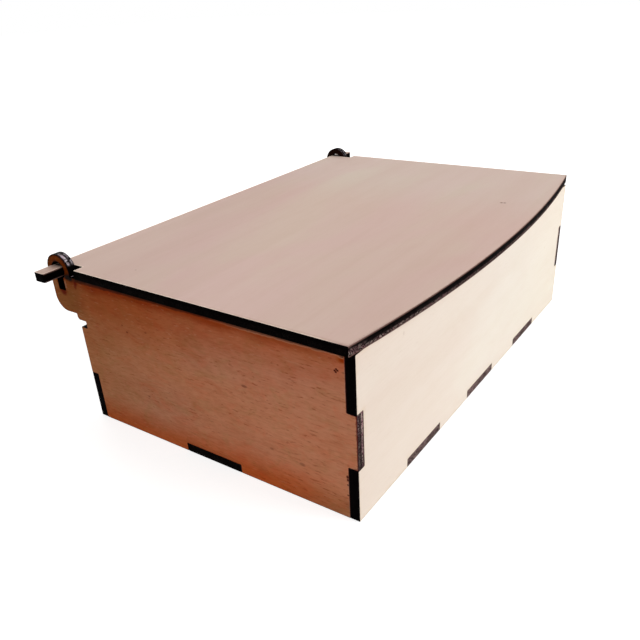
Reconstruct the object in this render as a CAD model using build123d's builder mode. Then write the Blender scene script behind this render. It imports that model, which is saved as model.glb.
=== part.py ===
from build123d import *
import os

# Laser-cut plywood box for papers and keepsakes. Its lid swings on two tabs of its own sheet,
# which turn in ears on the side panels. Millimetres.
# Origin: centre of the underside. +X runs along the hinge, -Y faces the front, +Z is up.

# Sheet and outer size
sheet = 3.0               # plywood thickness, the same in every piece
box_width = 168.0         # X, over the side panels
box_depth = 107.0         # Y, over the front and back panels
box_height = 52.5         # Z, without the lid

# Corner fingers: each corner is three thirds of the height
finger_height = box_height / 3

# Floor tabs
floor_tab_width = 22.4
floor_tab_pitch = 44.8    # front and back tabs, centre to centre

# Hinge: an axis along X, at mid-thickness of the closed lid
hinge_reach = 5.3         # from the back face out to the axis
hinge_radius = 2.9        # hole in each ear
ear_radius = 5.4          # disc round the hole
tab_width = 4.8           # hinge tab, across
tab_reach = 7.2           # hinge tab, past the side panel
tab_corner_radius = 0.8
lock_width = 3.1          # slot under the hole, one sheet and a running clearance wide
lock_bottom = 47.3        # height of the slot's end

# Bracket under the ear
bracket_reach = 10.0      # from the back face
bracket_bottom = 39.5
bracket_radius = 5.0
step_reach = 0.9          # small step under the bracket
step_bottom = 37.4
step_radius = 1.2

# Lid
lid_side_overhang_front = 2.0
lid_side_overhang_back = 0.6
lid_corner_setback = 0.6  # front corners, behind the front face
lid_bow_overhang = 6.0    # middle of the bowed edge, ahead of the front face
lid_notch_front = 3.2     # front of the cut-outs round the ears, ahead of the back face
lid_neck_clearance = 0.2  # each side, between the lid's neck and an ear

# Planes and lines that follow from the sizes above
front_y = -box_depth / 2
back_y = box_depth / 2
front_inner_y = front_y + sheet
back_inner_y = back_y - sheet
side_x = box_width / 2
side_inner_x = side_x - sheet
side_middle_x = side_x - sheet / 2
finger_low = finger_height
finger_high = 2 * finger_height
hinge_y = back_y + hinge_reach
hinge_z = box_height + sheet / 2

floor_tab_places = [place * floor_tab_pitch for place in (-1, 0, 1)]

os.makedirs("parts", exist_ok=True)


# Front panel: full width top and bottom, cut back between for the side panels' fingers
with BuildPart() as front_panel:
    with BuildSketch(Plane.XZ.offset(-front_y)):
        with Locations((0, box_height / 2)):
            Rectangle(box_width, box_height)
        with Locations((-side_middle_x, box_height / 2), (side_middle_x, box_height / 2)):
            Rectangle(sheet, finger_height, mode=Mode.SUBTRACT)
        with Locations([(x, sheet / 2) for x in floor_tab_places]):
            Rectangle(floor_tab_width, sheet, mode=Mode.SUBTRACT)
    extrude(amount=-sheet)

# Back panel: full width at the bottom only; above, it stands between the side panels
with BuildPart() as back_panel:
    with BuildSketch(Plane.XZ.offset(-back_y)):
        with Locations((0, box_height / 2)):
            Rectangle(2 * side_inner_x, box_height)
        with Locations((0, finger_height / 2)):
            Rectangle(box_width, finger_height)
        with Locations([(x, sheet / 2) for x in floor_tab_places]):
            Rectangle(floor_tab_width, sheet, mode=Mode.SUBTRACT)
    extrude(amount=sheet)

# Left panel: a finger at mid-height front and back, and the bracket and ear of the hinge
with BuildPart() as left_panel:
    with BuildSketch(Plane.YZ.offset(-side_x)):
        with BuildLine():
            wall = Polyline(
                (back_y + bracket_reach, box_height),
                (front_inner_y, box_height),
                (front_inner_y, finger_high),
                (front_y, finger_high),
                (front_y, finger_low),
                (front_inner_y, finger_low),
                (front_inner_y, 0),
                (back_inner_y, 0),
                (back_inner_y, finger_low),
                (back_y, finger_low),
                (back_y, finger_high),
                (back_inner_y, finger_high),
                (back_inner_y, step_bottom),
                (back_y + step_reach - step_radius, step_bottom),
            )
            step = TangentArc(
                wall @ 1,
                (back_y + step_reach, step_bottom + step_radius),
                tangent=wall % 1,
            )
            under = Polyline(
                step @ 1,
                (back_y + step_reach, bracket_bottom),
                (back_y + bracket_reach - bracket_radius, bracket_bottom),
            )
            corner = TangentArc(
                under @ 1,
                (back_y + bracket_reach, bracket_bottom + bracket_radius),
                tangent=under % 1,
            )
            Line(corner @ 1, wall @ 0)
        make_face()
        with Locations((hinge_y, hinge_z)):
            Circle(ear_radius)
            Circle(hinge_radius, mode=Mode.SUBTRACT)
        with Locations((hinge_y, (hinge_z + lock_bottom) / 2)):
            Rectangle(lock_width, hinge_z - lock_bottom, mode=Mode.SUBTRACT)
        with Locations((0, sheet / 2)):
            Rectangle(floor_tab_width, sheet, mode=Mode.SUBTRACT)
    extrude(amount=sheet)

# Right panel: the left one mirrored
with BuildPart() as right_panel:
    mirror(left_panel.part, about=Plane.YZ)

# Floor panel: lies between the walls, and its tabs reach through to their outer faces
with BuildPart() as floor_panel:
    with BuildSketch(Plane.XY):
        Rectangle(2 * side_inner_x, 2 * back_inner_y)
        Rectangle(box_width, floor_tab_width)
        with Locations([(x, 0) for x in floor_tab_places]):
            Rectangle(floor_tab_width, box_depth)
    extrude(amount=sheet)

# Lid: bowed front edge, sides that widen a little to the front, a neck between the ears,
# and a hinge tab at each end of the straight rear edge
neck_x = side_inner_x - lid_neck_clearance
notch_y = back_y - lid_notch_front
tab_front_y = hinge_y - tab_width / 2
tab_back_y = hinge_y + tab_width / 2
tab_end_x = side_x + tab_reach
corner_x = side_x + lid_side_overhang_front
corner_y = front_y + lid_corner_setback

with BuildPart() as lid:
    with BuildSketch(Plane.XY.offset(box_height)):
        with BuildLine():
            ThreePointArc(
                (-corner_x, corner_y), (0, front_y - lid_bow_overhang), (corner_x, corner_y)
            )
            for side in (-1, 1):
                Polyline(
                    (side * corner_x, corner_y),
                    (side * (side_x + lid_side_overhang_back), notch_y),
                    (side * neck_x, notch_y),
                    (side * neck_x, tab_front_y),
                    (side * tab_end_x, tab_front_y),
                    (side * tab_end_x, tab_back_y),
                )
            Line((-tab_end_x, tab_back_y), (tab_end_x, tab_back_y))
        make_face()
        tab_ends = vertices().group_by(Axis.X)
        fillet(tab_ends[0] + tab_ends[-1], radius=tab_corner_radius)
    extrude(amount=sheet)


front_panel.part.label = "front_panel"
back_panel.part.label = "back_panel"
left_panel.part.label = "left_panel"
right_panel.part.label = "right_panel"
floor_panel.part.label = "floor_panel"
lid.part.label = "lid"

export_step(front_panel.part, "parts/front_panel.step")
export_step(back_panel.part, "parts/back_panel.step")
export_step(left_panel.part, "parts/left_panel.step")
export_step(right_panel.part, "parts/right_panel.step")
export_step(floor_panel.part, "parts/floor_panel.step")
export_step(lid.part, "parts/lid.step")
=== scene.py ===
import math
import bmesh
import bpy
import numpy as np
from mathutils import Matrix, Vector, noise
from mathutils.geometry import delaunay_2d_cdt


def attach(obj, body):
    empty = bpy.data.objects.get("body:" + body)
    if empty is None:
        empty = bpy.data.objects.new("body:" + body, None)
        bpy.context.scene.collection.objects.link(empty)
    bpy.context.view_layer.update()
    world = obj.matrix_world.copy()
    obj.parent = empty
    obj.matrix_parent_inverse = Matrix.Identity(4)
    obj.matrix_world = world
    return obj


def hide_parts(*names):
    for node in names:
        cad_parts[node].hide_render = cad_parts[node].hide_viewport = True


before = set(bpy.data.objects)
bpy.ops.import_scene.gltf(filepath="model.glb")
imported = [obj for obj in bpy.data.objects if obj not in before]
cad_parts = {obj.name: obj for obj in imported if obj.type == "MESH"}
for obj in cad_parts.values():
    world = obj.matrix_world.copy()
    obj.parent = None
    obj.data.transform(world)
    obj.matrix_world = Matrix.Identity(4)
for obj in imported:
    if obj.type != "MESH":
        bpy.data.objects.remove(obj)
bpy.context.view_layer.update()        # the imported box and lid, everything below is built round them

mm = 0.001

# The box's own sizes, in millimetres, the same as in the CAD source
box = {
    "sheet": 3.0,            # plywood thickness
    "width": 168.0,
    "depth": 107.0,
    "height": 52.5,          # without the lid
    "floorTabWidth": 22.4,
    "floorTabPitch": 44.8,
}
sideX = box["width"] / 2
sideInnerX = sideX - box["sheet"]
faceY = box["depth"] / 2
innerY = faceY - box["sheet"]
fingerLow = box["height"] / 3
fingerHigh = 2 * box["height"] / 3
halfTab = box["floorTabWidth"] / 2
tabPlaces = [place * box["floorTabPitch"] for place in (-1, 0, 1)]
lidTop = box["height"] + box["sheet"]

# How the laser leaves an edge, in millimetres
laserCut = {
    "step": 0.7,             # between points along the cut
    "cornerRadius": 0.25,    # no corner of a cut is quite sharp
    "cornerTurn": 15,        # degrees; where an outline turns less it is part of a curve
    "arris": 0.13,           # worn edge where the cut meets the face
    "wearDepth": 0.55,       # how deep into the cut a rubbed edge reaches
    "glueLine": 0.05,        # glue lines burn back a little deeper
    "faceVeneer": 0.62,      # thickness of the two outer layers
    "flutes": 0.05,          # ridges down the cut, and how far apart
    "fluteSize": 1.6,
    "grit": 0.03,            # crumbly surface of the char, and the size of a crumb
    "gritSize": 0.55,
    "faceRings": ((0.4, 1), (1.0, 1), (2.2, 2), (4.2, 4)),   # points on the face: how far in, one in how many
    "ringShare": 0.93,       # points crowded nearer to the cut than this share are left out
    "faceGrid": 6.0,         # and a loose grid of points between
}
# the third slot carries a painted highlight
faceSlot, charSlot, paintedHighlightSlot = 0, 1, 2     # material slots of a cut sheet
batch = 2000             # points measured at a time


def arcPoints(centre, radius, startDegrees, endDegrees, step=0.6):
    count = max(4, int(abs(math.radians(endDegrees - startDegrees)) * radius / step))
    turns = np.radians(np.linspace(startDegrees, endDegrees, count + 1))
    return [(centre[0] + radius * math.cos(a), centre[1] + radius * math.sin(a)) for a in turns]


# Rounds each real corner of an outline; a corner may carry its own radius as a third number
def softCorners(corners, radius):
    rounded = []
    for i, corner in enumerate(corners):
        here = np.array(corner[:2], float)
        back = np.array(corners[i - 1][:2], float) - here
        on = np.array(corners[(i + 1) % len(corners)][:2], float) - here
        backLength, onLength = np.hypot(*back), np.hypot(*on)
        back, on = back / backLength, on / onLength
        turn = math.acos(max(-1.0, min(1.0, float(-back @ on))))
        if turn < math.radians(laserCut["cornerTurn"]):
            rounded.append(here)
            continue
        own = corner[2] if len(corner) > 2 else radius
        reach = min(own * math.tan(turn / 2), 0.4 * backLength, 0.4 * onLength)
        for t in (0, 0.2, 0.4, 0.6, 0.8, 1):
            rounded.append(here + back * reach * (1 - t) ** 2 + on * reach * t ** 2)
    return np.array(rounded)


# Points at an even step along a closed outline
def walkOutline(corners, step):
    walked = []
    for i, here in enumerate(corners):
        there = corners[(i + 1) % len(corners)]
        count = max(1, int(round(np.hypot(*(there - here)) / step)))
        walked += [here + (there - here) * k / count for k in range(count)]
    return np.array(walked)


# Unit normals into the wood: the outline runs anticlockwise and the holes clockwise
def inwardNormals(loop):
    along = np.roll(loop, -1, 0) - np.roll(loop, 1, 0)
    along /= np.maximum(np.hypot(along[:, 0], along[:, 1]), 1e-9)[:, None]
    return np.stack([-along[:, 1], along[:, 0]], 1)


def insideLoops(points, loops):
    inside = np.zeros(len(points), bool)
    for loop in loops:
        a, b = loop, np.roll(loop, -1, 0)
        for k in range(0, len(points), batch):
            u, v = points[k:k + batch, 0, None], points[k:k + batch, 1, None]
            crosses = (a[:, 1] > v) != (b[:, 1] > v)
            rise = np.where(b[:, 1] == a[:, 1], 1e-12, b[:, 1] - a[:, 1])
            at = a[:, 0] + (v - a[:, 1]) * (b[:, 0] - a[:, 0]) / rise
            inside[k:k + batch] ^= (crosses & (u < at)).sum(1) % 2 == 1
    return inside


def distanceToCut(points, loops):
    nearest = np.full(len(points), 1e9)
    for loop in loops:
        a, b = loop, np.roll(loop, -1, 0)
        run = b - a
        for k in range(0, len(points), batch):
            part = points[k:k + batch, None] - a[None]
            t = np.clip((part * run).sum(2) / np.maximum((run * run).sum(1), 1e-12), 0, 1)
            gap = part - t[..., None] * run
            nearest[k:k + batch] = np.minimum(nearest[k:k + batch], np.hypot(gap[..., 0], gap[..., 1]).min(1))
    return nearest


def ripple(u, v, w, size):
    return noise.noise(Vector((u / size, v / size, w / size)))


# Rows down the cut: depth into the sheet, how far the row stands back, how much the ridges count there
def cutRows():
    sheet, arris, veneer = box["sheet"], laserCut["arris"], laserCut["faceVeneer"]
    half = [(0, arris, 0.3), (0.3 * arris, 0.35 * arris, 0.6), (1.3 * arris, 0, 1), (0.62 * veneer, 0, 1),
            (veneer - 0.08, 0, 1), (veneer, laserCut["glueLine"], 1), (veneer + 0.1, 0.01, 1),
            (0.38 * sheet, 0, 1)]
    return half + [(sheet / 2, 0.01, 1)] + [(sheet - depth, back, ridge) for depth, back, ridge in half[::-1]]


# Points inside a face, in rings along the cut and a loose grid between
def facePoints(corners, loops, normals):
    ringed = []
    for inward, every in laserCut["faceRings"]:
        ring = np.concatenate([(loop + normal * inward)[::every] for loop, normal in zip(loops, normals)])
        ring = ring[insideLoops(ring, loops)]
        ringed.append(ring[distanceToCut(ring, corners) > laserCut["ringShare"] * inward])
    low, high = corners[0].min(0), corners[0].max(0)
    pitch = laserCut["faceGrid"]
    across, along = np.meshgrid(np.arange(low[0], high[0], pitch), np.arange(low[1], high[1], pitch))
    grid = np.stack([across.ravel(), along.ravel()], 1)
    grid[:, 0] += (np.arange(len(grid)) % 3) * 0.4       # a little out of step
    grid = grid[insideLoops(grid, loops)]
    grid = grid[distanceToCut(grid, corners) > laserCut["faceRings"][-1][0] + 1]
    return np.concatenate([*ringed, grid])


# Triangles between the rims of a face and through the points inside it. They count the points of the
# rims first, then those inside.
def faceTriangles(rimLoops, middle):
    edges, at = [], 0
    for rim in rimLoops:
        edges += [(at + i, at + (i + 1) % len(rim)) for i in range(len(rim))]
        at += len(rim)
    flat = [Vector(point) for point in np.concatenate([*rimLoops, middle])]
    found, _, faces, origins, _, _ = delaunay_2d_cdt(flat, edges, [], 0, 1e-6)
    centres = np.array([[sum(found[i][c] for i in face) / len(face) for c in (0, 1)] for face in faces])
    inside = insideLoops(centres, rimLoops)
    return [[origins[i][0] for i in face] for face, kept in zip(faces, inside) if kept]


# The finished sheet: fields gives each point its values for the materials, and an edge between two rim
# points is a hard line
def sheetPiece(name, points, faces, slots, fields, rimPoints):
    mesh = bpy.data.meshes.new(name)
    mesh.from_pydata(points, [], faces)
    mesh.polygons.foreach_set("material_index", slots)
    mesh.polygons.foreach_set("use_smooth", [True] * len(mesh.polygons))
    mesh.update()
    for label, values in fields.items():
        values = np.array(values, np.float32)
        kind, key = ("FLOAT", "value") if values.ndim == 1 else ("FLOAT_VECTOR", "vector")
        mesh.attributes.new(label, kind, "POINT").data.foreach_set(key, values.ravel())
    hard = np.array([e.vertices[0] in rimPoints and e.vertices[1] in rimPoints for e in mesh.edges], bool)
    mesh.attributes.new("sharp_edge", "BOOLEAN", "EDGE").data.foreach_set("value", hard)
    work = bmesh.new()
    work.from_mesh(mesh)
    bmesh.ops.recalc_face_normals(work, faces=work.faces)
    work.to_mesh(mesh)
    work.free()
    piece = bpy.data.objects.new(name, mesh)
    bpy.context.scene.collection.objects.link(piece)
    return piece


# One sheet of plywood cut by laser: two veneered faces, and a cut edge with plies and flutes.
# place turns (u, v, depth) of the sheet into the box's own place, all in millimetres. Where the given
# highlight test holds at (u, v), the cut takes the third material, which carries a painted highlight, and
# worn(u, v) says how far its two edges are rubbed back.
def cutSheet(name, outline, holes, place, seed, lift=None, paintedHighlightAt=None, worn=None):
    sheet = box["sheet"]
    corners = [softCorners(loop, laserCut["cornerRadius"]) for loop in [outline, *holes]]
    loops = [walkOutline(loop, laserCut["step"]) for loop in corners]
    normals = [inwardNormals(loop) for loop in loops]
    rows = cutRows()

    # the cut, row by row
    verts, cutDist, plyDepth, cutFacing = [], [], [], []
    faces, slots, rims = [], [], []
    for loop, normal in zip(loops, normals):
        count, first = len(loop), len(verts)
        columns = [ripple(u, v, seed, laserCut["fluteSize"]) for u, v in loop]
        rubbed = [worn(u, v) if worn else 0.0 for u, v in loop]
        for depth, back, ridge in rows:
            nearFace = max(0.0, 1 - min(depth, sheet - depth) / laserCut["wearDepth"])
            for i, (u, v) in enumerate(loop):
                flute = laserCut["flutes"] * (0.5 + 0.5 * columns[i])
                grit = laserCut["grit"] * (0.5 + 0.5 * ripple(u, v, depth * 1.7 + seed, laserCut["gritSize"]))
                inset = back + ridge * (flute + grit) + rubbed[i] * nearFace ** 2
                verts.append((u + normal[i][0] * inset, v + normal[i][1] * inset, depth))
                cutDist.append(0.0)
                plyDepth.append(depth / sheet)
                cutFacing.append((-normal[i][0], -normal[i][1], 0.0))
        for r in range(len(rows) - 1):
            a, b = first + r * count, first + (r + 1) * count
            for i in range(count):
                j = (i + 1) % count
                faces.append((a + i, a + j, b + j, b + i))
                slots.append(paintedHighlightSlot if paintedHighlightAt and paintedHighlightAt(*loop[i]) else charSlot)
        lastRow = first + (len(rows) - 1) * count
        rims.append((range(first, first + count), range(lastRow, lastRow + count)))

    # the two faces
    middle = facePoints(corners, loops, normals)
    middleDist = distanceToCut(middle, corners)
    for side, depth in enumerate((0.0, sheet)):
        rimLoops = [np.array([verts[i][:2] for i in rim[side]]) for rim in rims]
        index = [i for rim in rims for i in rim[side]] + list(range(len(verts), len(verts) + len(middle)))
        for (u, v), distance in zip(middle, middleDist):
            verts.append((u, v, depth))
            cutDist.append(distance)
            plyDepth.append(float(side))
            cutFacing.append((0.0, 0.0, 0.0))
        for triangle in faceTriangles(rimLoops, middle):
            faces.append(tuple(index[i] for i in triangle))
            slots.append(faceSlot)

    points = np.array(verts, float)
    if lift:
        points[:, 2] += lift(points[:, 0], points[:, 1])
    placed = [tuple(c * mm for c in place(*point)) for point in points]
    fields = {"cutDist": cutDist, "plyDepth": plyDepth, "cutFacing": cutFacing}
    rimPoints = {i for rim in rims for row in rim for i in row}
    return sheetPiece(name, placed, faces, slots, fields, rimPoints)


# Small helpers for the materials
def paint(red, green, blue):
    linear = [c / 255 / 12.92 if c <= 10 else ((c / 255 + 0.055) / 1.055) ** 2.4 for c in (red, green, blue)]
    return (*linear, 1.0)


# A bench for the nodes of one material, or of the world
class NodeDesk:
    def __init__(self, owner):
        owner.use_nodes = True
        self.owner = owner
        self.tree = owner.node_tree
        self.tree.nodes.clear()

    def add(self, kind, inputs=None, **settings):
        node = self.tree.nodes.new(kind)
        for key, value in settings.items():
            setattr(node, key, value)
        for key, value in (inputs or {}).items():
            if isinstance(value, bpy.types.NodeSocket):
                self.tree.links.new(value, node.inputs[key])
            else:
                node.inputs[key].default_value = value
        return node

    def math(self, operation, a, b=0.0, c=0.0, clamp=False):
        node = self.add("ShaderNodeMath", {0: a, 1: b, 2: c}, operation=operation, use_clamp=clamp)
        return node.outputs[0]

    # 0 below low, 1 above high, smooth between
    def step(self, value, low, high, top=1.0):
        ends = {"Value": value, "From Min": low, "From Max": high, "To Max": top}
        return self.add("ShaderNodeMapRange", ends, interpolation_type="SMOOTHSTEP").outputs["Result"]

    def mix(self, factor, a, b, blend="MIX"):
        node = self.add("ShaderNodeMix", {"Factor": factor}, data_type="RGBA", blend_type=blend)
        for place, value in ((6, a), (7, b)):
            if isinstance(value, bpy.types.NodeSocket):
                self.tree.links.new(value, node.inputs[place])
            else:
                node.inputs[place].default_value = value
        return node.outputs[2]

    def scaled(self, vector, scale, turn=(0, 0, 0), move=(0, 0, 0)):
        settings = {"Vector": vector, "Scale": scale, "Rotation": turn, "Location": move}
        return self.add("ShaderNodeMapping", settings).outputs["Vector"]

    # noise in clouds of a size, in millimetres: (along the grain, across it)
    def clouds(self, wood, size, detail=2.0, rough=0.5, distort=0.0, move=(0, 0, 0)):
        long, wide = size
        settings = {"Vector": self.scaled(wood, (1 / long, 1 / wide, 1 / wide), move=move),
                    "Scale": 1.0, "Detail": detail, "Roughness": rough, "Distortion": distort}
        return self.add("ShaderNodeTexNoise", settings).outputs["Fac"]

    def attribute(self, name):
        return self.add("ShaderNodeAttribute", attribute_name=name)

    # how much a place counts: each limit is (direction, none before, full after), in millimetres
    def region(self, place, limits, strength, uneven=0.0):
        weight = strength
        for towards, before, after in limits:
            along = self.add("ShaderNodeVectorMath", {0: place, 1: tuple(c / mm for c in towards)},
                             operation="DOT_PRODUCT").outputs["Value"]
            if uneven:
                along = self.math("ADD", along, uneven)
            weight = self.math("MULTIPLY", self.step(along, before, after), weight)
        return weight

    # a level that changes over 0 to 1, from the first stop to the last
    def ramp(self, value, stops):
        node = self.add("ShaderNodeValToRGB", {"Fac": value})
        points = node.color_ramp.elements
        for at, level in stops[1:-1]:
            points.new(at).color = (level, level, level, 1)
        for point, (_, level) in ((points[0], stops[0]), (points[-1], stops[-1])):
            point.color = (level, level, level, 1)
        return node.outputs["Color"]

    # 1 where the camera, a mirror or a clear thing looks, 0 for light that falls on other surfaces
    def lookedAt(self):
        rays = self.add("ShaderNodeLightPath")
        mirrored = self.math("MAXIMUM", rays.outputs["Is Glossy Ray"], rays.outputs["Is Transmission Ray"])
        return self.math("MAXIMUM", rays.outputs["Is Camera Ray"], mirrored)

    def finish(self, colour, roughness, height, reach, specular, strength):
        bump = self.add("ShaderNodeBump", {"Height": height, "Distance": reach * mm, "Strength": strength})
        shader = self.add("ShaderNodeBsdfPrincipled", {
            "Base Color": colour, "Roughness": roughness, "Normal": bump.outputs["Normal"],
            "Specular IOR Level": specular})
        self.add("ShaderNodeOutputMaterial", {"Surface": shader.outputs[0]})
        return self.owner


# Birch face veneer. look["turn"] lays the grain along X, Y or Z of the box.
def veneerMaterial(name, look):
    desk = NodeDesk(bpy.data.materials.new(name))
    place = desk.add("ShaderNodeTexCoord").outputs["Object"]
    wood = desk.scaled(place, (1 / mm,) * 3, turn=look["turn"], move=look["shift"])

    # broad tones, then slow bands along the grain
    tone = desk.clouds(wood, look["toneSize"], 3, 0.55, 0.6)
    colour = desk.mix(desk.step(tone, *look["toneEdge"]), look["toneA"], look["toneB"])
    uneven = desk.clouds(wood, look["driftSize"], move=(5, 2, 9))
    for drift in look["drifts"]:
        shift = desk.math("MULTIPLY", uneven, drift.get("uneven", 0.0))
        there = desk.region(place, drift["where"], 1.0, shift)
        colour = desk.mix(there, colour, drift["tint"], "MULTIPLY")
    band = desk.clouds(wood, look["bandSize"], 2, 0.5, 0.4)
    colour = desk.mix(desk.step(band, *look["bandEdge"], look["bands"]), colour, look["bandTint"], "MULTIPLY")
    for blotch in look["blotches"]:
        cloud = desk.clouds(wood, blotch["size"], 4, 0.6, 1.0, blotch["move"])
        cloud = desk.step(cloud, *look["blotchEdge"], blotch["strength"])
        colour = desk.mix(cloud, colour, blotch["tint"], "MULTIPLY")

    # fine fibre, then the short pores, which stand in crowds, and pale flecks of the same size
    fibre = desk.clouds(wood, look["fibreSize"], 3, 0.6)
    streak = desk.step(fibre, *look["fibreEdge"], look["fibre"])
    colour = desk.mix(streak, colour, look["fibreTint"], "MULTIPLY")
    poreFrom = look["poreFrom"]
    pore = desk.step(desk.clouds(wood, look["poreSize"], 2, 0.45), poreFrom, poreFrom + 0.09)
    crowd = desk.step(desk.clouds(wood, look["crowdSize"], move=(7, 3, 0)), *look["crowdEdge"], look["pores"])
    poreMask = desk.math("MULTIPLY", pore, crowd)
    colour = desk.mix(poreMask, colour, look["poreTint"], "MULTIPLY")
    fleck = desk.clouds(wood, look["poreSize"], 2, 0.45, move=(31, 17, 23))
    fleck = desk.step(fleck, poreFrom, poreFrom + 0.12, look["paleFlecks"])
    colour = desk.mix(fleck, colour, look["paleTint"])

    # scattered specks, dark and light
    for kind in look["specks"]:
        every, size, share = kind["every"], kind["size"], kind["share"]
        spread = desk.scaled(wood, (1 / every,) * 3, move=kind["move"])
        cells = desk.add("ShaderNodeTexVoronoi", {"Vector": spread, "Scale": 1.0}).outputs
        dot = desk.step(cells["Distance"], size / every, 0.4 * size / every)
        lot = desk.add("ShaderNodeSeparateColor", {0: cells["Color"]}).outputs[0]
        chosen = desk.step(lot, 1 - share, 1.02 - share, kind["strength"])
        colour = desk.mix(desk.math("MULTIPLY", dot, chosen), colour, kind["colour"])

    # single marks at known places, drawn out along the grain
    spots = [(tint, spot) for tint, group in look["marks"] for spot in group]
    for tint, (x, y, z, size, strength, stretch) in spots:
        gap = desk.add("ShaderNodeVectorMath", {0: place, 1: (x * mm, y * mm, z * mm)}, operation="SUBTRACT")
        squash = tuple(1 / stretch if axis == look["grainAxis"] else 1.0 for axis in "XYZ")
        gap = desk.add("ShaderNodeVectorMath", {0: gap.outputs[0], 1: squash}, operation="MULTIPLY")
        gap = desk.add("ShaderNodeVectorMath", {0: gap.outputs[0]}, operation="LENGTH").outputs["Value"]
        colour = desk.mix(desk.step(gap, size * mm, 0.3 * size * mm, strength), colour, tint)

    # scorched and smoked stretches, each fading in from the cut with a ragged edge
    cut = desk.attribute("cutDist").outputs["Fac"]
    inner = desk.step(desk.attribute("plyDepth").outputs["Fac"], 0.4, 0.6)
    for burn in look["burns"]:
        there = desk.region(place, burn["where"], burn["strength"])
        if burn.get("innerFace"):
            there = desk.math("MULTIPLY", there, inner)
        ragged, reach = burn["ragged"], burn["reach"]
        edge = desk.step(desk.clouds(wood, (burn["patch"],) * 2, 3, 0.6), 0.2, 0.8, 2.0)
        edge = desk.math("MULTIPLY_ADD", edge, ragged * reach, (1 - ragged) * reach)
        heat = desk.math("SUBTRACT", 1.0, desk.math("DIVIDE", cut, edge), clamp=True)
        heat = desk.math("POWER", heat, burn["fade"])
        blend = "MULTIPLY" if burn.get("stain") else "MIX"
        colour = desk.mix(desk.math("MULTIPLY", heat, there), colour, burn["tint"], blend)

    roughness = desk.math("ADD", 0.56, desk.math("MULTIPLY", fibre, 0.16))
    height = desk.math("SUBTRACT", desk.math("MULTIPLY", fibre, 0.5), poreMask)
    return desk.finish(colour, roughness, height, look["bumpReach"], look["specular"], look["relief"])


# The burnt cut: black soot with ash crumbs. The crumbs show pale mostly on the cuts that face one given
# direction, in the sheet's own directions. This is painted light: those cuts look lit by the lamp and the
# rest look shaded. look["plies"] says how much ash each ply holds, from the outer face to the inner.
def charMaterial(name, look):
    desk = NodeDesk(bpy.data.materials.new(name))
    place = desk.add("ShaderNodeTexCoord").outputs["Object"]
    wood = desk.scaled(place, (1 / mm,) * 3, move=look["shift"])
    depth = desk.attribute("plyDepth").outputs["Fac"]
    outward = desk.attribute("cutFacing").outputs["Vector"]
    towards = desk.add("ShaderNodeVectorMath", {0: outward, 1: look["litSideTowards"]}, operation="DOT_PRODUCT")
    towards = towards.outputs["Value"]
    front = desk.step(towards, *look["facingSpread"], look["litSideAsh"])
    rear = desk.step(desk.math("MULTIPLY", towards, -1.0), *look["facingSpread"], look["ashRear"])
    ashAndLitSide = desk.math("ADD", desk.math("ADD", front, rear), look["ashRest"])
    for fade in look["litAshFades"]:
        lost = desk.region(place, fade["where"], fade["loss"])
        ashAndLitSide = desk.math("MULTIPLY", ashAndLitSide, desk.math("SUBTRACT", 1.0, lost))

    crumb = desk.clouds(wood, (look["crumb"],) * 2, 3, 0.75)
    patch = desk.clouds(wood, (look["patchSize"],) * 2, move=(2, 8, 5))
    hue = desk.clouds(wood, (look["hueSize"],) * 2, 1, move=(4, 1, 7))
    ply = desk.ramp(depth, look["plies"])
    litAsh = desk.math("MULTIPLY", desk.step(crumb, *look["crumbEdge"]), desk.math("MULTIPLY", ashAndLitSide, ply))
    litAsh = desk.math("MULTIPLY", litAsh, desk.math("ADD", desk.step(patch, 0.3, 0.65, 0.5), 0.6), clamp=True)
    colour = desk.mix(litAsh, look["soot"], desk.mix(desk.step(hue, 0.4, 0.6), look["litAshA"], look["litAshB"]))
    # the colour at the arris also counts more on the lit side, so it is partly painted light
    edge = desk.math("ABSOLUTE", desk.math("SUBTRACT", depth, 0.5))
    worn = desk.math("MULTIPLY", front, look["rimFront"])
    worn = desk.math("ADD", desk.math("MULTIPLY", ashAndLitSide, look["rim"]), worn)
    rim = desk.math("MULTIPLY", desk.step(edge, *look["rimEdge"]), worn, clamp=True)
    colour = desk.mix(rim, colour, look["rimColour"])

    roughness = desk.math("SUBTRACT", look["roughness"], desk.step(patch, 0.45, 0.7, 0.14))
    return desk.finish(colour, roughness, crumb, look["bumpReach"], look["specular"], look["relief"])


# Directions of the box, for places on it: a limit is (direction, none before, full after)
left, right, forward, back, up, down = (-1, 0, 0), (1, 0, 0), (0, -1, 0), (0, 1, 0), (0, 0, 1), (0, 0, -1)
everywhere = []

# What the faces and the burnt cuts share; each sheet then changes what is its own. Sizes in millimetres.
veneerLook = {
    "turn": (0, 0, 0), "shift": (0, 0, 0), "grainAxis": "X",
    "toneA": paint(246, 236, 225), "toneB": paint(248, 241, 230),
    "toneSize": (95, 34), "toneEdge": (0.36, 0.64),
    "drifts": [], "driftSize": (11, 4),
    "bands": 0.4, "bandTint": paint(250, 248, 244), "bandSize": (160, 9), "bandEdge": (0.35, 0.7),
    "blotches": [{"size": (22, 13), "strength": 0.3, "tint": paint(250, 247, 243), "move": (0, 0, 0)}],
    "blotchEdge": (0.45, 0.75),
    "fibre": 0.3, "fibreTint": paint(246, 243, 240), "fibreSize": (9.0, 0.45), "fibreEdge": (0.3, 0.8),
    "pores": 0.2, "poreFrom": 0.66, "poreTint": paint(214, 196, 182), "poreSize": (1.8, 0.3),
    "crowdSize": (24, 14), "crowdEdge": (0.35, 0.62),
    "paleFlecks": 0.0, "paleTint": paint(250, 244, 236),
    "specks": [],
    "marks": [],             # tint, then spots: x, y, z, size, strength, stretch along the grain
    "burns": [
        {"where": everywhere, "reach": 1.4, "ragged": 1.0, "patch": 3.5, "fade": 1.4, "strength": 0.35,
         "tint": paint(240, 226, 200), "stain": True},
        {"where": everywhere, "reach": 0.16, "ragged": 1.0, "patch": 0.6, "fade": 0.7, "strength": 0.6,
         "tint": paint(96, 72, 62)},
    ],
    "specular": 0.25, "relief": 0.4, "bumpReach": 0.05,
}
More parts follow.
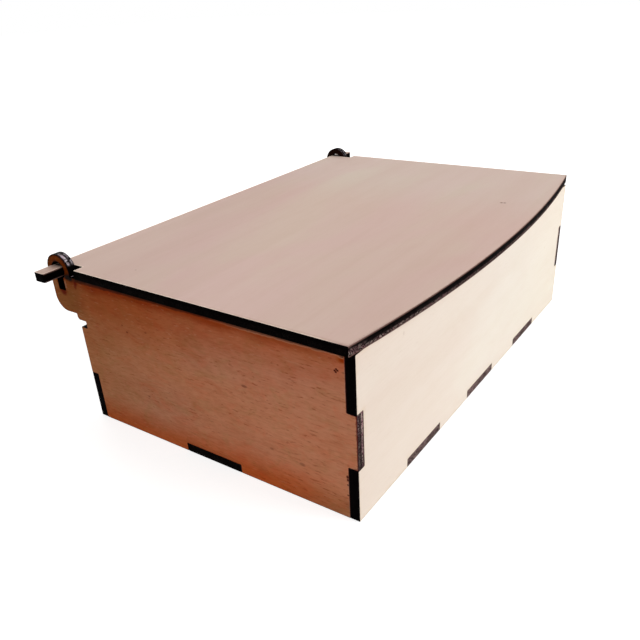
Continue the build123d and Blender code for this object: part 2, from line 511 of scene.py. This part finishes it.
charLook = {
    # paler ash on the cuts that face the lit side, which is painted light
    "shift": (0, 0, 0), "litSideTowards": (0, -1, 0), "facingSpread": (0.5, 0.9),
    "litSideAsh": 1.0, "ashRear": 0.6, "ashRest": 0.02,
    "litAshFades": [],
    "crumb": 0.6, "crumbEdge": (0.44, 0.6), "patchSize": 4.0, "hueSize": 1.1,
    "plies": [(0, 0.5), (0.2, 0.6), (0.35, 0.4), (0.5, 0.3), (0.65, 0.5), (1, 0.6)],
    "soot": paint(2, 1, 1), "litAshA": paint(132, 106, 118), "litAshB": paint(152, 138, 144),
    "rim": 0.5, "rimFront": 0.0, "rimEdge": (0.43, 0.48), "rimColour": paint(84, 56, 50),
    "roughness": 0.7, "specular": 0.005, "relief": 0.6, "bumpReach": 0.1,
}


# Gives a sheet its materials and puts it in the place of its solid, on the body that carries it
def dressSheet(piece, body, node, slot, *materials):
    for material in materials:
        piece.data.materials.append(material)
    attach(piece, body)
    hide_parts(node)
    print("built", piece.name, len(piece.data.polygons), "faces")


# Notches for the floor's tabs, cut up into the lower edge of a wall, from left to right
def tabNotches(places):
    notches = []
    for at in places:
        start, end = at - halfTab, at + halfTab
        notches += [(start, 0), (start, box["sheet"]), (end, box["sheet"]), (end, 0)]
    return notches


# Front wall: its fingers are at the top and bottom of each end
frontWall = {
    "outline": [(-sideX, 0), *tabNotches(tabPlaces), (sideX, 0), (sideX, fingerLow),
                (sideInnerX, fingerLow), (sideInnerX, fingerHigh), (sideX, fingerHigh),
                (sideX, box["height"]), (-sideX, box["height"]), (-sideX, fingerHigh),
                (-sideInnerX, fingerHigh), (-sideInnerX, fingerLow), (-sideX, fingerLow)],
    "veneer": {
        **veneerLook,
        "shift": (12, 0, 4),
        "drifts": [
            # darker towards the left and at the upper left: painted light, falling off away from the lamp on
            # the right
            {"where": [(left, -60, 84)], "tint": paint(253, 248, 246)},
            {"where": [(right, 10, 84)], "tint": paint(254, 253, 250)},
            {"where": [(up, 8, 48), (left, -76, -30)], "tint": paint(250, 248, 248)},
        ],
        "marks": [(paint(150, 110, 90), [(-59.2, -faceY, 47.3, 0.9, 0.18, 0.6)])],
    },
    "char": {**charLook, "litSideAsh": 0.06, "ashRear": 0.06},
}
frontPiece = cutSheet("frontWall", frontWall["outline"], [], lambda u, v, w: (u, w - faceY, v), 1.3)
dressSheet(frontPiece, "box", "front_panel", "front_ply",
           veneerMaterial("frontVeneer", frontWall["veneer"]), charMaterial("frontChar", frontWall["char"]))

# Back wall: full width at the bottom, between the side walls above
backWall = {
    "outline": [(-sideX, 0), *tabNotches(tabPlaces), (sideX, 0), (sideX, fingerLow),
                (sideInnerX, fingerLow), (sideInnerX, box["height"]), (-sideInnerX, box["height"]),
                (-sideInnerX, fingerLow), (-sideX, fingerLow)],
    "veneer": {**veneerLook, "shift": (90, 0, 31)},
    "char": {**charLook, "shift": (5, 0, 0), "litSideAsh": 0.06, "ashRear": 0.06},
}
backPiece = cutSheet("backWall", backWall["outline"], [], lambda u, v, w: (u, w + innerY, v), 4.1)
dressSheet(backPiece, "box", "back_panel", "back_ply",
           veneerMaterial("backVeneer", backWall["veneer"]), charMaterial("backChar", backWall["char"]))

# Side walls: a finger front and back at mid height, then the step, the bracket and the hinge ear
hinge = {
    "reach": 5.3, "rise": 1.5,               # axis, behind the back face and above the walls
    "holeRadius": 2.9, "earRadius": 5.4,
    "slotWidth": 3.1, "slotEnd": 47.3,
    "bracketReach": 10.0, "bracketBottom": 39.5, "bracketRadius": 5.0,
    "stepReach": 0.9, "stepBottom": 37.4, "stepRadius": 1.2,
}
axisY, axisZ = faceY + hinge["reach"], box["height"] + hinge["rise"]
bracketY = faceY + hinge["bracketReach"]
stepY = faceY + hinge["stepReach"]
earFrom = -math.degrees(math.acos((bracketY - axisY) / hinge["earRadius"]))
earTo = 180 + math.degrees(math.asin(hinge["rise"] / hinge["earRadius"]))
halfSlot = hinge["slotWidth"] / 2
slotTurn = math.degrees(math.acos(halfSlot / hinge["holeRadius"]))
stepCentre = (stepY - hinge["stepRadius"], hinge["stepBottom"] + hinge["stepRadius"])
bracketCentre = (bracketY - hinge["bracketRadius"], hinge["bracketBottom"] + hinge["bracketRadius"])
sideOutline = [
    (-innerY, 0), *tabNotches([0]), (innerY, 0), (innerY, fingerLow), (faceY, fingerLow),
    (faceY, fingerHigh), (innerY, fingerHigh), (innerY, hinge["stepBottom"]),
    *arcPoints(stepCentre, hinge["stepRadius"], -90, 0, 0.25), (stepY, hinge["bracketBottom"]),
    *arcPoints(bracketCentre, hinge["bracketRadius"], -90, 0),
    *arcPoints((axisY, axisZ), hinge["earRadius"], earFrom, earTo, 0.5),
    (-innerY, box["height"]), (-innerY, fingerHigh), (-faceY, fingerHigh),
    (-faceY, fingerLow), (-innerY, fingerLow),
]
keyhole = [
    (axisY - halfSlot, hinge["slotEnd"]),
    *arcPoints((axisY, axisZ), hinge["holeRadius"], 180 + slotTurn, -slotTurn, 0.4),
    (axisY + halfSlot, hinge["slotEnd"]),
]


# Spots on the left wall's outer face: y, z, size, strength, stretch along the grain
def onLeftWall(*spots):
    return [(-sideX, *spot) for spot in spots]


sideWall = {
    "veneer": {
        **veneerLook,
        "turn": (0, 0, math.radians(-90)), "shift": (40, 7, 0), "grainAxis": "Y",
        # painted shade with a warm cast: the same birch as the front wall, made darker and more orange
        "toneA": paint(237, 160, 123), "toneB": paint(234, 165, 135),
        # redder towards the back, orange smoke under the lid and along the lower edge, darker on the
        # bracket and the ear
        "drifts": [
            {"where": [((0, 0.8, 0.6), -10, 95)], "tint": paint(199, 191, 144)},
            {"where": [((0, 0.08, 1), 33.5, 51.5), (forward, -62, -36)],
             "tint": paint(236, 196, 166), "uneven": 5.0},
            {"where": [(up, 49, 52.3), (forward, -56, -50), (back, -70, -10)],
             "tint": paint(219, 173, 120), "uneven": 2.5},
            {"where": [((0, -0.04, -1), -12.5, 1.5), (back, -62, -22)],
             "tint": paint(255, 190, 127), "uneven": 3.0},
            {"where": [(forward, 25, 48), (down, -12, -2)], "tint": paint(236, 246, 240)},
            {"where": [(back, 46, 54), (up, 36, 42)], "tint": paint(220, 218, 204)},
            {"where": [(back, 52.5, 53.5), (up, 51.5, 54)], "tint": paint(208, 200, 125)},
        ],
        "bands": 0.5, "bandTint": paint(242, 232, 224),
        "blotches": [
            {"size": (22, 13), "strength": 0.5, "tint": paint(238, 222, 208), "move": (0, 0, 0)},
            {"size": (10, 5), "strength": 0.65, "tint": paint(255, 226, 216), "move": (8, 3, 5)},
            {"size": (9, 6), "strength": 0.65, "tint": paint(236, 250, 232), "move": (3, 9, 1)},
        ],
        "fibre": 0.55, "fibreTint": paint(226, 208, 194), "fibreSize": (2.8, 0.6),
        "pores": 0.55, "poreFrom": 0.62, "poreTint": paint(206, 168, 144), "poreSize": (2.4, 0.6),
        "paleFlecks": 0.16, "paleTint": paint(236, 182, 148),
        "specular": 0.025,
        "specks": [
            {"every": 9.0, "size": 0.4, "share": 0.3, "strength": 0.45, "colour": paint(110, 56, 38),
             "move": (0, 0, 0)},
            {"every": 7.0, "size": 0.4, "share": 0.3, "strength": 0.3, "colour": paint(236, 180, 140),
             "move": (3, 5, 2)},
        ],
        "marks": [
            # the knot, then small dark spots, the last four by the lower front corner
            (paint(70, 8, 0), onLeftWall(
                (-47.85, 47.12, 0.42, 1.0, 1.1), (-48.27, 46.8, 0.42, 1.0, 1.0),
                (-47.72, 46.22, 0.42, 1.0, 1.1), (-47.35, 46.58, 0.42, 1.0, 1.0),
                (-47.8, 46.65, 0.4, 0.5, 1.0),
                (-50.0, 46.6, 0.5, 0.3, 1.6), (-16.4, 32.7, 0.7, 0.5, 2.2), (30.3, 38.4, 0.45, 0.7, 1.4),
                (32.1, 40.4, 0.4, 0.5, 1.4), (21.6, 40.3, 0.4, 0.45, 1.6), (-35.0, 12.6, 0.8, 0.4, 1.8),
                (-24.3, 14.1, 0.6, 0.3, 1.8), (25.7, 16.2, 0.5, 0.35, 1.6), (-50.0, 14.3, 0.75, 0.95, 0.8),
                (-50.1, 13.3, 0.7, 0.95, 0.8), (-50.1, 11.6, 0.5, 0.9, 1.0), (-50.0, 8.0, 0.45, 0.8, 1.0))),
            # scorched spots: at the front upper corner, with a broad faint one further back, where the ear
            # meets the wall, and below the slot
            (paint(180, 88, 16), onLeftWall((-49.2, 50.1, 1.3, 0.6, 1.5), (28.0, 42.0, 11.0, 0.1, 1.6))),
            (paint(172, 58, 2), onLeftWall((-49.7, 50.0, 0.95, 0.9, 1.5))),
            (paint(104, 14, 0), onLeftWall((51.4, 50.7, 1.3, 0.85, 0.9), (51.8, 49.4, 1.1, 0.6, 0.9))),
            (paint(106, 22, 0), onLeftWall((58.5, 46.6, 1.9, 0.9, 1.1))),
            # a painted highlight along the front edge of the slot, then paler patches behind it
            (paint(196, 160, 148), onLeftWall(
                (56.7, 50.5, 0.8, 0.6, 0.9), (56.7, 49.6, 0.8, 0.6, 0.9), (56.75, 48.7, 0.8, 0.5, 0.9))),
            (paint(188, 136, 92), onLeftWall((61.8, 48.6, 2.6, 0.5, 0.8), (62.2, 50.2, 2.0, 0.4, 0.8))),
            # soot, with the painted shadow of the lid's tab, at the front foot of the ear
            (paint(3, 1, 1), onLeftWall((53.7, 52.3, 2.0, 1.0, 1.2), (55.3, 52.2, 1.5, 0.95, 1.3))),
        ],
        "burns": [
            # orange round the ear and the slot, and a sooty outline on the ear
            {"where": [(up, 48, 51), (back, 51, 53)], "reach": 6.0, "ragged": 0.5, "patch": 3.0, "fade": 0.5,
             "strength": 0.8, "tint": paint(247, 203, 140), "stain": True},
            {"where": [(back, 53, 55)], "reach": 1.3, "ragged": 0.6, "patch": 2.0, "fade": 0.9,
             "strength": 0.9, "tint": paint(244, 198, 150), "stain": True},
            {"where": [(up, 53.2, 54.4), (back, 52.5, 53.5)], "reach": 0.55, "ragged": 0.4, "patch": 1.5,
             "fade": 0.5, "strength": 0.95, "tint": paint(24, 8, 5)},
            # pale line under the lid near the front, and a dark line along the upper edge: soot, with the
            # painted shadow of the lid's overhang
            {"where": [(up, 50.4, 50.7), (forward, 0, 25), (back, -50.4, -49.8)],
             "reach": 1.75, "ragged": 0.15, "patch": 3.0, "fade": 0.3, "strength": 0.6,
             "tint": paint(218, 166, 134)},
            {"where": [(up, 50.6, 50.9), (forward, -53, -51), (back, -50.4, -49.9)],
             "reach": 1.42, "ragged": 0.15, "patch": 3.0, "fade": 0.3, "strength": 0.96,
             "tint": paint(22, 8, 5)},
            # smoke above the floor's tab; soot on the ears' inner faces, near black with painted shade
            {"where": [(up, 2.5, 3.5), (down, -7, -5)],
             "reach": 2.2, "ragged": 0.5, "patch": 2.0, "fade": 0.8, "strength": 0.6,
             "tint": paint(216, 222, 230), "stain": True},
            {"where": [(up, 51.5, 53.5)], "reach": 40.0, "ragged": 0.2, "patch": 1.6, "fade": 1.0,
             "strength": 0.985, "tint": paint(10, 2, 2), "innerFace": True},
            # paler rubbed wood beside the front fingers, a thin char line round every cut, broader in front
            {"where": [(forward, 49, 49.8)], "reach": 0.34, "ragged": 1.0, "patch": 2.0, "fade": 0.8,
             "strength": 0.6, "tint": paint(214, 178, 160)},
            {"where": everywhere, "reach": 0.16, "ragged": 1.0, "patch": 0.5, "fade": 0.7, "strength": 0.8,
             "tint": paint(62, 24, 14)},
            {"where": [(forward, 51.2, 52)], "reach": 0.45, "ragged": 1.0, "patch": 1.2, "fade": 0.6,
             "strength": 0.9, "tint": paint(120, 34, 24)},
        ],
    },
    "char": {
        **charLook,
        # paler ash on the cut ends facing the front, where the lamp lights them: painted light
        "shift": (0, 3, 0), "litSideTowards": (-1, 0, 0),
        "litAshFades": [{"where": [(down, -30, -17)], "loss": 0.45}, {"where": [(back, -49, -45)], "loss": 1.0}],
        "plies": [(0, 0.1), (0.12, 0.28), (0.3, 0.4), (0.42, 0.2), (0.6, 0.12), (0.68, 0.85), (0.93, 1.0),
                  (1, 0.7)],
        "crumb": 0.5, "crumbEdge": (0.4, 0.54), "litAshA": paint(154, 114, 122), "litAshB": paint(184, 158, 154),
        "rim": 0.8, "rimColour": paint(96, 30, 22),
    },
    # the ear's own rim is glossy black soot. Its shine is a painted highlight: pale lilac-white streaks,
    # placed by its plies and crumbs, on the part facing up and forward
    "earCharAndHighlight": {
        **charLook,
        "litSideTowards": (-0.6, 0.8, 0), "facingSpread": (0.82, 0.97), "ashRear": 0.0, "ashRest": 0.0,
        "litAshFades": [{"where": [(right, 0, 40)], "loss": 0.5}],
        "plies": [(0, 0), (0.14, 0.05), (0.24, 1.0), (0.44, 0.9), (0.52, 0.1), (0.7, 0.1), (0.78, 0.6),
                  (1, 0.1)],
        "crumb": 1.1, "crumbEdge": (0.42, 0.54), "litAshA": paint(188, 170, 182), "litAshB": paint(222, 214, 222),
        "rim": 0.3, "rimColour": paint(70, 24, 12),
        "roughness": 0.6, "specular": 0.006, "relief": 0.4,
    },
}
sideMaterials = (veneerMaterial("sideVeneer", sideWall["veneer"]), charMaterial("sideChar", sideWall["char"]),
                 charMaterial("earCharAndHighlight", sideWall["earCharAndHighlight"]))


# The ear's outer rim, without the wall of its hole
def onEar(u, v):
    return v > box["height"] - 0.5 and math.hypot(u - axisY, v - axisZ) > hinge["holeRadius"] + 1


leftPiece = cutSheet("leftWall", sideOutline, [keyhole], lambda u, v, w: (w - sideX, u, v), 7.7,
                     paintedHighlightAt=onEar)
dressSheet(leftPiece, "box", "left_panel", "side_ply", *sideMaterials)
rightPiece = cutSheet("rightWall", sideOutline, [keyhole], lambda u, v, w: (sideX - w, u, v), 9.2,
                      paintedHighlightAt=onEar)
dressSheet(rightPiece, "box", "right_panel", "side_ply", *sideMaterials)

# Floor: fits between the walls, eight tabs reach through them
floorOutline = [(-sideInnerX, -innerY)]
for at in tabPlaces:
    start, end = at - halfTab, at + halfTab
    floorOutline += [(start, -innerY), (start, -faceY), (end, -faceY), (end, -innerY)]
floorOutline += [(sideInnerX, -innerY), (sideInnerX, -halfTab), (sideX, -halfTab), (sideX, halfTab),
                 (sideInnerX, halfTab), (sideInnerX, innerY)]
for at in tabPlaces[::-1]:
    start, end = at + halfTab, at - halfTab
    floorOutline += [(start, innerY), (start, faceY), (end, faceY), (end, innerY)]
floorOutline += [(-sideInnerX, innerY), (-sideInnerX, halfTab), (-sideX, halfTab), (-sideX, -halfTab),
                 (-sideInnerX, -halfTab)]
floorSheet = {
    "veneer": {
        **veneerLook,
        "shift": (33, 60, 0), "toneA": paint(230, 212, 196), "toneB": paint(236, 221, 205),
    },
    "char": {
        **charLook,
        "shift": (0, 0, 6), "plies": [(0, 0.8), (0.2, 1.0), (0.35, 0.8), (0.5, 0.7), (0.65, 0.9), (1, 1.0)],
        "crumbEdge": (0.38, 0.56), "litAshA": paint(134, 108, 108), "litAshB": paint(150, 128, 125),
    },
}
floorPiece = cutSheet("floorSheet", floorOutline, [], lambda u, v, w: (u, v, w), 12.9)
dressSheet(floorPiece, "box", "floor_panel", "floor_ply",
           veneerMaterial("floorVeneer", floorSheet["veneer"]), charMaterial("floorChar", floorSheet["char"]))

# Lid: bowed front edge, a neck between the ears and a flat tab each side as hinge pin
lidSheet = {
    "frontOverhang": 2.0, "backOverhang": 0.6,   # past the side walls
    "cornerSetback": 0.6, "bowOverhang": 6.0,
    "notchFront": 3.2, "neckClearance": 0.2,
    "tabWidth": 4.8, "tabReach": 7.2, "tabRadius": 0.8,
    "cornerLift": 0.55,      # the sheet isn't quite flat: its right side rides up, in front and behind
    "backLift": 0.5,
    "tabLift": 0.47,         # and its right tab with it, up to the top of the hole
    "tabEase": (74.0, 80.5),                     # X between which the sheet eases into the tab's lift
    "tabWear": 0.22,         # edges of the tabs rubbed back inside the ears, and how far past them
    "wearMargin": {"front": 0.1, "sides": 0.4},
    "veneer": {
        **veneerLook,
        "shift": (70, 20, 0),
        # partly painted shade: the same birch as the front wall, made darker and pinker
        "toneA": paint(212, 189, 179), "toneB": paint(211, 194, 179),
        "drifts": [
            {"where": [(left, -55, -10)], "tint": paint(255, 246, 246)},
            {"where": [((-0.35, 0.94, 0), 12, 62)], "tint": paint(240, 232, 233)},
            # the tabs a little darker: painted shade
            {"where": [(left, 84, 86)], "tint": paint(238, 234, 232)},
            {"where": [(right, 84, 86)], "tint": paint(238, 234, 232)},
        ],
        "bands": 0.5, "bandTint": paint(249, 245, 242), "fibre": 0.2,
        "marks": [
            (paint(120, 84, 68), [
                (38.6, -42.75, lidTop + 0.17, 0.8, 0.95, 1.0), (38.9, -43.85, lidTop + 0.17, 0.75, 0.9, 1.0),
                (-74.6, 32.3, lidTop, 0.45, 0.4, 1.0)]),
            # soot rubbed off on the tabs where they turn in the ears, with the painted shade inside the ears
            (paint(14, 6, 6), [
                (x, y, lidTop + 0.2, 2.6, 0.95, 0.8) for x in (-82.4, 82.4) for y in (57.0, 59.0, 61.0)]),
        ],
        "burns": [
            {"where": everywhere, "reach": 1.0, "ragged": 1.0, "patch": 3.5, "fade": 1.2, "strength": 0.4,
             "tint": paint(234, 220, 196), "stain": True},
            {"where": [(back, -52, -48)], "reach": 0.55, "ragged": 0.5, "patch": 2.5, "fade": 0.6,
             "strength": 0.85, "tint": paint(250, 230, 212)},
            # crumbs of char along the bowed front edge, more of them at the left corner
            {"where": [(forward, 46, 51)], "reach": 0.4, "ragged": 1.0, "patch": 0.5, "fade": 0.8,
             "strength": 0.6, "tint": paint(110, 82, 76)},
            {"where": [(forward, 46, 51), (left, 60, 80)], "reach": 0.9, "ragged": 1.0, "patch": 0.4,
             "fade": 0.9, "strength": 0.7, "tint": paint(158, 128, 124)},
        ],
    },
    "char": {
        **charLook,
        "shift": (9, 0, 0), "ashRear": 0.5,
        # the upper plies are plain black, except at the left corner; there the paler ash carries a painted
        # sheen
        "litAshFades": [
            {"where": [((1, 0.3, 0), -100, -30)], "loss": 0.4},
            {"where": [(back, 44, 50)], "loss": 1.0},
            {"where": [(up, 53.3, 53.9), (right, -84.5, -78)], "loss": 0.95},
            {"where": [(up, 54.2, 54.8)], "loss": 0.7},
        ],
        "plies": [(0, 0.5), (0.12, 0.8), (0.3, 1.0), (0.5, 0.9), (0.62, 0.8), (0.75, 0.6), (0.9, 0.6),
                  (0.96, 0.8), (1, 0.8)],
        "crumb": 0.4, "litAshA": paint(148, 112, 114), "litAshB": paint(162, 142, 136),
        "rim": 0.7, "rimFront": 0.9, "rimEdge": (0.36, 0.46), "rimColour": paint(112, 84, 78),
    },
}
cornerX, cornerY = sideX + lidSheet["frontOverhang"], lidSheet["cornerSetback"] - faceY
bow = cornerY + faceY + lidSheet["bowOverhang"]
bowRadius = (cornerX ** 2 + bow ** 2) / (2 * bow)
bowHalf = math.degrees(math.asin(cornerX / bowRadius))
bowCentre = (0, bowRadius - faceY - lidSheet["bowOverhang"])
notchX, notchY = sideX + lidSheet["backOverhang"], faceY - lidSheet["notchFront"]
neckX = sideInnerX - lidSheet["neckClearance"]
tabX, tabR = sideX + lidSheet["tabReach"], lidSheet["tabRadius"]
tabFront, tabBack = axisY - lidSheet["tabWidth"] / 2, axisY + lidSheet["tabWidth"] / 2
lidOutline = [
    *arcPoints(bowCentre, bowRadius, -90 - bowHalf, -90 + bowHalf, 4.0),
    (notchX, notchY), (neckX, notchY), (neckX, tabFront), (tabX, tabFront, tabR), (tabX, tabBack, tabR),
    (-tabX, tabBack, tabR), (-tabX, tabFront, tabR), (-neckX, tabFront), (-neckX, notchY),
    (-notchX, notchY),
]


# How far the lid rides up: from left to right, from the notches to the front, and over into the right tab
def lidLift(u, v):
    across = np.clip((u + cornerX) / (2 * cornerX), 0, 1)
    ahead = np.clip((notchY - v) / (notchY + faceY), 0, 1)
    level = lidSheet["cornerLift"] * ahead * across ** 4 + lidSheet["backLift"] * (1 - ahead) * across ** 1.5
    easeFrom, easeTo = lidSheet["tabEase"]
    nearTab = np.clip((u - easeFrom) / (easeTo - easeFrom), 0, 1)
    nearTab *= np.clip((v - notchY) / (tabFront - notchY), 0, 1)
    return level * (1 - nearTab) + lidSheet["tabLift"] * nearTab


# The tabs are worn where they turn in the ears
def tabWorn(u, v):
    margin = lidSheet["wearMargin"]
    inEar = sideInnerX - margin["sides"] < abs(u) < sideX + margin["sides"]
    return lidSheet["tabWear"] if inEar and v > tabFront - margin["front"] else 0.0


lidPiece = cutSheet("lidSheet", lidOutline, [], lambda u, v, w: (u, v, w + box["height"]), 17.4,
                    lift=lidLift, worn=tabWorn)
dressSheet(lidPiece, "lid", "lid", "lid_ply",
           veneerMaterial("lidVeneer", lidSheet["veneer"]), charMaterial("lidChar", lidSheet["char"]))

# Pale floor: white to the camera, yet it keeps the shadow of the box
studio = {
    "floorSize": 6.0, "floorTiles": 12, "floorColour": (0.5, 0.5, 0.5, 1.0),
    "floorGlow": (0.79, 1.0), "floorFade": (0.16, 0.5),      # near and far from the box, and where it changes
    "ambient": 0.3, "ambientColour": (1.0, 0.985, 0.965, 1.0),
    "aim": (0, 0, 0.03),
    "lamps": {
        "key": {"place": (0.45, -1.15, 0.75), "size": 0.9, "power": 15.0, "colour": (1.0, 0.99, 0.97)},
        "fill": {"place": (-1.2, -0.5, 0.5), "size": 1.2, "power": 2.2, "colour": (1.0, 0.96, 0.92)},
        "top": {"place": (0.1, 0.3, 1.4), "size": 1.2, "power": 2.4, "colour": (1.0, 1.0, 1.0)},
        "rear": {"place": (0.7, 1.3, 0.45), "size": 1.0, "power": 8.0, "colour": (1.0, 0.99, 0.97)},
    },
}
white = (1, 1, 1, 1)
tiles, halfFloor = studio["floorTiles"], studio["floorSize"] / 2
row = tiles + 1
steps = np.linspace(-halfFloor, halfFloor, row)
starts = [r * row + c for r in range(tiles) for c in range(tiles)]
ground = bpy.data.meshes.new("ground")
ground.from_pydata([(x, y, 0) for y in steps for x in steps], [],
                   [(at, at + 1, at + row + 1, at + row) for at in starts])
groundPiece = bpy.data.objects.new("ground", ground)
bpy.context.scene.collection.objects.link(groundPiece)
desk = NodeDesk(bpy.data.materials.new("paleFloor"))
soft = desk.add("ShaderNodeBsdfDiffuse", {"Color": studio["floorColour"]})
near, far = studio["floorGlow"]
place = desk.add("ShaderNodeTexCoord").outputs["Object"]
away = desk.add("ShaderNodeVectorMath", {0: place}, operation="LENGTH").outputs["Value"]
bright = desk.math("ADD", near, desk.step(away, *studio["floorFade"], far - near))
bright = desk.math("MULTIPLY", desk.lookedAt(), bright)
glow = desk.add("ShaderNodeEmission", {"Color": white, "Strength": bright})
both = desk.add("ShaderNodeAddShader", {0: soft.outputs[0], 1: glow.outputs[0]})
desk.add("ShaderNodeOutputMaterial", {"Surface": both.outputs[0]})
ground.materials.append(desk.owner)

# White all round for whatever looks at it, and a soft warm light on the box
world = bpy.data.worlds.new("studio")
bpy.context.scene.world = world
desk = NodeDesk(world)
air = desk.add("ShaderNodeBackground", {"Color": studio["ambientColour"], "Strength": studio["ambient"]})
clear = desk.add("ShaderNodeBackground", {"Color": white})
choose = desk.add("ShaderNodeMixShader", {0: desk.lookedAt(), 1: air.outputs[0], 2: clear.outputs[0]})
desk.add("ShaderNodeOutputWorld", {"Surface": choose.outputs[0]})

aim = Vector(studio["aim"])
for name, lamp in studio["lamps"].items():
    light = bpy.data.lights.new(name, "AREA")
    light.shape, light.size = "DISK", lamp["size"]
    light.energy, light.color = lamp["power"], lamp["colour"]
    holder = bpy.data.objects.new(name, light)
    holder.location = lamp["place"]
    holder.rotation_mode = "QUATERNION"
    holder.rotation_quaternion = (aim - Vector(lamp["place"])).to_track_quat("-Z", "Y")
    bpy.context.scene.collection.objects.link(holder)
print("studio lit")

# Camera: turned a little about its own axis, as if held by hand
view = {
    "azimuth": -54.340, "elevation": 28.091, "roll": -3.278,      # degrees
    "place": (-203.675, -129.217, 130.494),                       # millimetres
    "lens": 38.052, "sensor": 36.0, "shift": 0.04375,
    "clip": (0.01, 20),                                           # metres
}
turn, tilt = math.radians(view["azimuth"]), math.radians(view["elevation"])
axisBack = Vector((math.sin(turn) * math.cos(tilt), -math.cos(turn) * math.cos(tilt), math.sin(tilt)))
level = Vector((math.cos(turn), math.sin(turn), 0))
upright = axisBack.cross(level)
roll = math.radians(view["roll"])
axisRight = level * math.cos(roll) + upright * math.sin(roll)
axisUp = upright * math.cos(roll) - level * math.sin(roll)
camera = bpy.data.objects.new("camera", bpy.data.cameras.new("camera"))
camera.data.sensor_width, camera.data.lens = view["sensor"], view["lens"]
camera.data.shift_y = view["shift"]
camera.data.clip_start, camera.data.clip_end = view["clip"]
axes = Matrix((axisRight, axisUp, axisBack)).transposed().to_4x4()
camera.matrix_world = Matrix.Translation(Vector(view["place"]) * mm) @ axes
bpy.context.scene.collection.objects.link(camera)
bpy.context.scene.camera = camera
bpy.context.scene.view_settings.view_transform = "Standard"
print("camera set")
